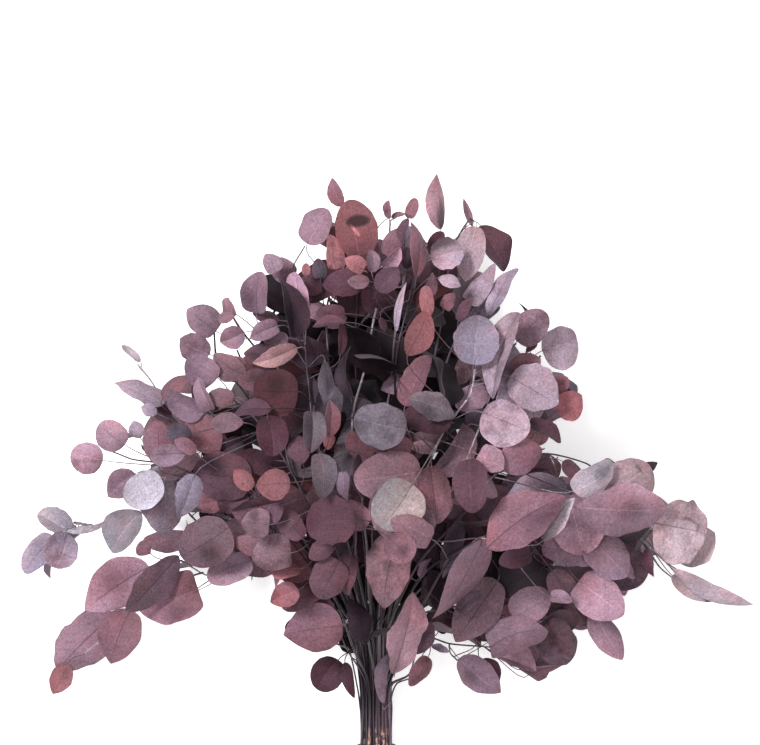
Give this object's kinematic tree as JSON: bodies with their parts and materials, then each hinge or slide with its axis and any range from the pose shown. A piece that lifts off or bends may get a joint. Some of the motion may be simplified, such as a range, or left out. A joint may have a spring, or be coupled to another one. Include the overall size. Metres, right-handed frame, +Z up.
{
  "type": "bunch of preserved eucalyptus",
  "caption": "Bunch of preserved round-leaf eucalyptus in plum, rose and pale mauve, lying down, its thin woody stems held together by a plain rubber band.",
  "frame": {"origin": "centre of the bounding box's lower face, on the surface the bunch lies on", "axes": "+Z up from the surface, +Y along the stems from the cut ends to the tips, +X to the right as seen from above with the tips away"},
  "size_m": [0.6508, 0.6942, 0.2911],
  "materials": {
    "leaf_lilac_far_left": "satin, dry",
    "leaf_dark_far_right": "satin, dry",
    "leaf_dark_far_right_pleated": "satin, dry",
    "leaf_mauve_front_centre": "satin, dry",
    "leaf_plum_front_left": "satin, dry",
    "leaf_rose_front_low_left": "satin, dry",
    "leaf_rose_front_right": "satin, dry",
    "leaf_plum_front_slate": "satin, dry",
    "leaf_slate_front_small": "satin, dry",
    "leaf_dark_grey_stem": "satin, dry",
    "leaf_mauve_left_brown": "satin, dry",
    "leaf_dark_left_high": "satin, dry",
    "leaf_dark_left_inner": "satin, dry",
    "leaf_maroon_left_pale_stem": "satin, dry",
    "leaf_dark_left_tall": "satin, dry",
    "leaf_lilac_left_upper_ring": "satin, dry",
    "leaf_dark_light_stem": "satin, dry",
    "leaf_dusty_low_left": "satin, dry",
    "leaf_mauve_low_right_folded": "satin, dry",
    "leaf_dark_low_right_rose": "satin, dry",
    "leaf_brown_low_right_wiry": "satin, dry",
    "leaf_dark_right_arch": "satin, dry",
    "leaf_dark_right_greige": "satin, dry",
    "leaf_brown_right_heart": "satin, dry",
    "leaf_dark_right_outer": "satin, dry",
    "leaf_lilac_right_pale_heart": "satin, dry",
    "leaf_dark_right_plum": "satin, dry",
    "leaf_dark_right_red": "satin, dry",
    "leaf_dusty_right_rose": "satin, dry",
    "leaf_dark_top_crown": "satin, dry",
    "leaf_maroon_top_dark": "satin, dry",
    "leaf_lilac_top_folded": "satin, dry",
    "leaf_dark_top_left": "satin, dry",
    "leaf_plum_top_left_long": "satin, dry",
    "leaf_dark_top_right": "satin, dry",
    "leaf_dark_top_thin": "satin, dry",
    "leaf_dark_top_twisted": "satin, dry",
    "leaf_plum_under_left": "satin, dry",
    "leaf_plum_under_middle": "satin, dry",
    "leaf_dark_under_right": "satin, dry",
    "leaf_brown_under_top": "satin, dry",
    "leaf_mauve_under_upper_left": "satin, dry",
    "leaf_slate_under_upper_right": "satin, dry",
    "band_rubber": "matt"
  },
  "bodies": {
    "root": {"spray_far_left": "leaf_lilac_far_left", "spray_far_right": "leaf_dark_far_right", "spray_far_right_pleated": "leaf_dark_far_right_pleated", "spray_front_centre": "leaf_mauve_front_centre", "spray_front_left": "leaf_plum_front_left", "spray_front_low_left": "leaf_rose_front_low_left", "spray_front_right": "leaf_rose_front_right", "spray_front_slate": "leaf_plum_front_slate", "spray_front_small": "leaf_slate_front_small", "spray_grey_stem": "leaf_dark_grey_stem", "spray_left_brown": "leaf_mauve_left_brown", "spray_left_high": "leaf_dark_left_high", "spray_left_inner": "leaf_dark_left_inner", "spray_left_pale_stem": "leaf_maroon_left_pale_stem", "spray_left_tall": "leaf_dark_left_tall", "spray_left_upper_ring": "leaf_lilac_left_upper_ring", "spray_light_stem": "leaf_dark_light_stem", "spray_low_left": "leaf_dusty_low_left", "spray_low_right_folded": "leaf_mauve_low_right_folded", "spray_low_right_rose": "leaf_dark_low_right_rose", "spray_low_right_wiry": "leaf_brown_low_right_wiry", "spray_right_arch": "leaf_dark_right_arch", "spray_right_greige": "leaf_dark_right_greige", "spray_right_heart": "leaf_brown_right_heart", "spray_right_outer": "leaf_dark_right_outer", "spray_right_pale_heart": "leaf_lilac_right_pale_heart", "spray_right_plum": "leaf_dark_right_plum", "spray_right_red": "leaf_dark_right_red", "spray_right_rose": "leaf_dusty_right_rose", "spray_top_crown": "leaf_dark_top_crown", "spray_top_dark": "leaf_maroon_top_dark", "spray_top_folded": "leaf_lilac_top_folded", "spray_top_left": "leaf_dark_top_left", "spray_top_left_long": "leaf_plum_top_left_long", "spray_top_right": "leaf_dark_top_right", "spray_top_thin": "leaf_dark_top_thin", "spray_top_twisted": "leaf_dark_top_twisted", "spray_under_left": "leaf_plum_under_left", "spray_under_middle": "leaf_plum_under_middle", "spray_under_right": "leaf_dark_under_right", "spray_under_top": "leaf_brown_under_top", "spray_under_upper_left": "leaf_mauve_under_upper_left", "spray_under_upper_right": "leaf_slate_under_upper_right", "tie_band": "band_rubber"}
  },
  "joints": []
}
